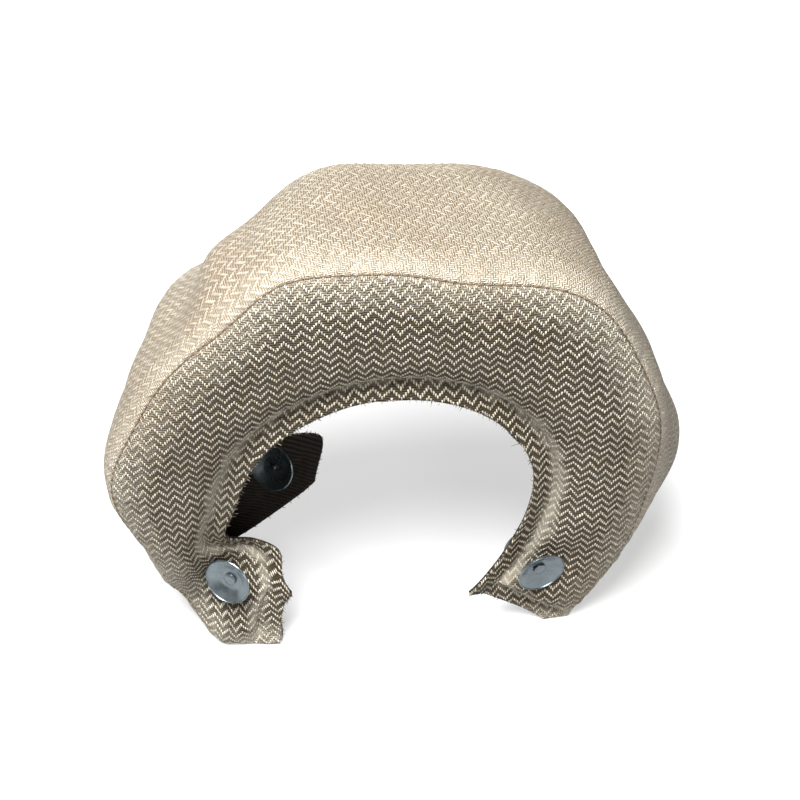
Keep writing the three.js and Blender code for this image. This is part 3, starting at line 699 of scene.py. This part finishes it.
def turned_piece(name, profile, segments, capped):
    """Raised from a circle by extruding and sizing it along a profile of radius and height."""
    bpy.ops.object.select_all(action="DESELECT")
    radius, height = profile[0]
    bpy.ops.mesh.primitive_circle_add(vertices=segments, radius=radius, location=(0, 0, height),
                                      fill_type="NGON" if capped else "NOTHING")
    piece = bpy.context.object
    piece.name = piece.data.name = name
    bpy.ops.object.transform_apply(location=True)
    bpy.ops.object.mode_set(mode="EDIT")
    bpy.ops.mesh.select_all(action="SELECT")
    for next_radius, next_height in profile[1:]:
        if capped:
            bpy.ops.mesh.extrude_region()
        else:
            bpy.ops.mesh.extrude_edges_move()
        bpy.ops.transform.resize(value=(next_radius / radius, next_radius / radius, 1),
                                 center_override=(0, 0, height))
        bpy.ops.transform.translate(value=(0, 0, next_height - height))
        radius, height = next_radius, next_height
    bpy.ops.mesh.select_all(action="SELECT")
    bpy.ops.mesh.remove_doubles(threshold=1e-6)
    bpy.ops.mesh.normals_make_consistent(inside=False)
    bpy.ops.object.mode_set(mode="OBJECT")
    bpy.ops.object.shade_smooth_by_angle(angle=0.6)
    piece.data.materials.append(steel_look)
    return piece


def stand(piece, foot, axis, node):
    """Stands a turned piece on a foot point, along an axis, in place of its node."""
    turn = Vector((0, 0, 1)).rotation_difference(Vector(axis)).to_matrix().to_4x4()
    piece.data.transform(Matrix.Translation(Vector(foot)) @ turn)
    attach(piece, "root")
    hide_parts(node)


def node_points(node):
    return np.array([vertex.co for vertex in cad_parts[node].data.vertices])


def anchor_axis(name):
    """The anchor's axis, from its inner washer to its outer one."""
    pin = node_points(f"{name}_pin")
    axis = np.linalg.svd(pin - pin.mean(0))[2][0]
    inner, outer = (node_points(f"{name}_{label}_washer").mean(0) for label in ("inner", "outer"))
    return axis * np.sign((outer - inner) @ axis)


def off_axis(cloud, axis):
    """How far each point lies from the line along the axis through their middle."""
    reach = cloud - cloud.mean(0)
    return np.linalg.norm(reach - np.outer(reach @ axis, axis), axis=1)


def washer_profile(rim):
    bore = PIN_RADIUS + PIN_CLEARANCE
    neck = rim - WASHER_LIP
    slope = WASHER_DISH / (rim - WASHER_FLAT)
    low = slope * (neck - WASHER_FLAT)
    underside = [(bore, 0), (WASHER_FLAT, 0), (WASHER_FLAT + 0.0012, slope * 0.0012),
                 (neck - 0.0007, low - slope * 0.0007), (neck + 0.0002, low + 0.0001)]
    rolled = [(-0.0001, 0.0007), (0, 0.0010), (-0.0002, 0.0013), (-0.0004, 0.0014),
              (-0.0006, 0.0012), (-0.0007, 0.0009)]
    face = [(neck - 0.0002, low + 0.0007), (neck - 0.0011, low + 0.0004),
            (WASHER_FLAT + 0.0014, WASHER_STEEL + 0.0004), (WASHER_FLAT, WASHER_STEEL),
            (bore + 0.0002, WASHER_STEEL), (bore, WASHER_STEEL - 0.0002), (bore, 0)]
    return underside + [(rim + out, low + up) for out, up in rolled] + face


for anchor in ANCHOR_NAMES:
    for label, axis in (("outer", anchor_axis(anchor)), ("inner", -anchor_axis(anchor))):
        node = f"{anchor}_{label}_washer"
        cloud = node_points(node)
        middle = cloud.mean(0)
        washer = turned_piece(f"{node}_steel", washer_profile(off_axis(cloud, axis).max()),
                              64, False)
        stand(washer, middle + axis * ((cloud @ axis).min() - middle @ axis), axis, node)

# Pins: turned from plated steel, each with a low domed head outside and a plain
# shank that passes through the quilt and both washers and has a blunt end.
PIN_HEAD_RADIUS, PIN_HEAD_HEIGHT = 0.0027, 0.0009
for anchor in ANCHOR_NAMES:
    axis = anchor_axis(anchor)
    cloud = node_points(f"{anchor}_pin")
    middle = cloud.mean(0)
    along = cloud @ axis
    head_seat = along[off_axis(cloud, axis) > 0.8 * PIN_HEAD_RADIUS].min()
    shank = head_seat - along.min()
    profile = [(0.6 * PIN_RADIUS, -shank), (0.85 * PIN_RADIUS, -shank + 0.0002),
               (PIN_RADIUS, -shank + 0.0005), (PIN_RADIUS, 0), (PIN_HEAD_RADIUS - 0.0001, 0),
               (PIN_HEAD_RADIUS, 0.0002), (PIN_HEAD_RADIUS - 0.0001, 0.0005),
               (0.0021, 0.00075), (0.0012, 0.00088), (0.0005, PIN_HEAD_HEIGHT)]
    pin = turned_piece(f"{anchor}_pin_steel", profile, 40, True)
    stand(pin, middle + axis * (head_seat - middle @ axis), axis, f"{anchor}_pin")

# Studio floor: a plain pale sheet just under the two ends, which keeps their
# shadow and brightens into the white background further out.
bpy.ops.object.select_all(action="DESELECT")
bpy.ops.mesh.primitive_plane_add(size=4, location=(0, 0, -0.0005))
floor = bpy.context.object
floor.name = "floor"
floor_look, nodes, shader = new_look("pale_floor")
shader["Base Color"].default_value = (0.45, 0.45, 0.45, 1)
shader["Roughness"].default_value = 0.9
shader["Emission Color"].default_value = (1, 1, 1, 1)
seen = nodes.add("ShaderNodeLightPath").outputs["Is Camera Ray"]
away = nodes.add("ShaderNodeVectorMath", {0: nodes.spot()}, operation="LENGTH").outputs["Value"]
glow = nodes.math("MULTIPLY", seen, nodes.ramp(away, 0.16, 0.42, 0.5, 1.0))
nodes.feed(shader["Emission Strength"], glow)
floor.data.materials.append(floor_look)

# Studio light: a broad lamp overhead, a weaker one behind that glances along the
# rim band, a faint one in front, and a dim room behind a white background.
world = bpy.data.worlds.new("studio")
bpy.context.scene.world = world
world.use_nodes = True
nodes = Nodes(world.node_tree)
seen = nodes.add("ShaderNodeLightPath").outputs["Is Camera Ray"]
background = world.node_tree.nodes["Background"].inputs
background["Color"].default_value = (1, 1, 1, 1)
nodes.feed(background["Strength"], nodes.ramp(seen, 0.0, 1.0, 0.16, 1.0))


def lamp(name, where, size, power):
    light = bpy.data.lights.new(name, "AREA")
    light.shape = "DISK"
    light.size = size
    light.energy = power
    holder = bpy.data.objects.new(name, light)
    holder.location = where
    aim = Vector((0, 0, 0.1)) - Vector(where)
    holder.rotation_euler = aim.to_track_quat("-Z", "Y").to_euler()
    bpy.context.scene.collection.objects.link(holder)


lamp("overhead", (-0.20, -0.34, 1.08), 0.55, 30)
lamp("front", (0.25, -1.05, 0.50), 0.35, 2.6)
lamp("behind", (-0.50, 0.62, 0.95), 0.30, 4)

# Camera: five degrees to the left of the front and 42 above the floor, 620 mm
# from the middle of the blanket.
AZIMUTH, ELEVATION, DISTANCE = np.radians(-5), np.radians(42), 0.620
camera = bpy.data.objects.new("camera", bpy.data.cameras.new("camera"))
bpy.context.scene.collection.objects.link(camera)
back = Vector((np.sin(AZIMUTH) * np.cos(ELEVATION), -np.cos(AZIMUTH) * np.cos(ELEVATION),
               np.sin(ELEVATION)))
camera.location = Vector((0.0006, 0.0023, 0.095)) + back * DISTANCE
camera.rotation_euler = (-back).to_track_quat("-Z", "Y").to_euler()
camera.data.sensor_width = 36
camera.data.lens = 67.5
bpy.context.scene.camera = camera
bpy.context.scene.view_settings.view_transform = "Standard"
